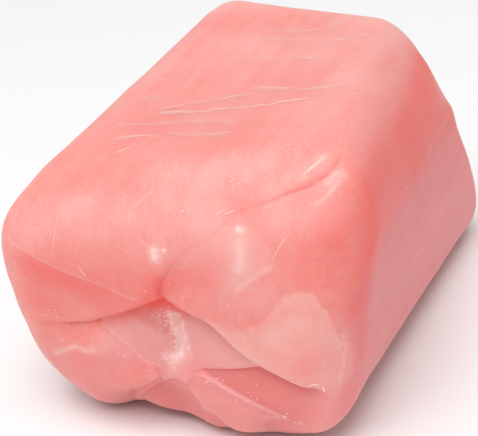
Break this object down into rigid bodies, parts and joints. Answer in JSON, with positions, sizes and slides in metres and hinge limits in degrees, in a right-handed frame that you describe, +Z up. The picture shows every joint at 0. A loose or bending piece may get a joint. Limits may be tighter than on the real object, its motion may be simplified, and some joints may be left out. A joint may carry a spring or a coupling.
{
  "type": "fruit chew",
  "caption": "Unwrapped pink fruit chew: a soft rounded block with pleats pressed into both ends by its wrapper, to rest flat on a table.",
  "frame": {"origin": "middle of the bounding box on the face it rests on", "axes": "+Z up; +Y along the block, away from the pleated end that shows; +X across, towards the side that shows"},
  "size_m": [0.0158, 0.0222, 0.0125],
  "materials": {
    "candy": "satin, waxy and slightly translucent"
  },
  "bodies": {
    "root": {"chew": "candy"}
  },
  "joints": []
}
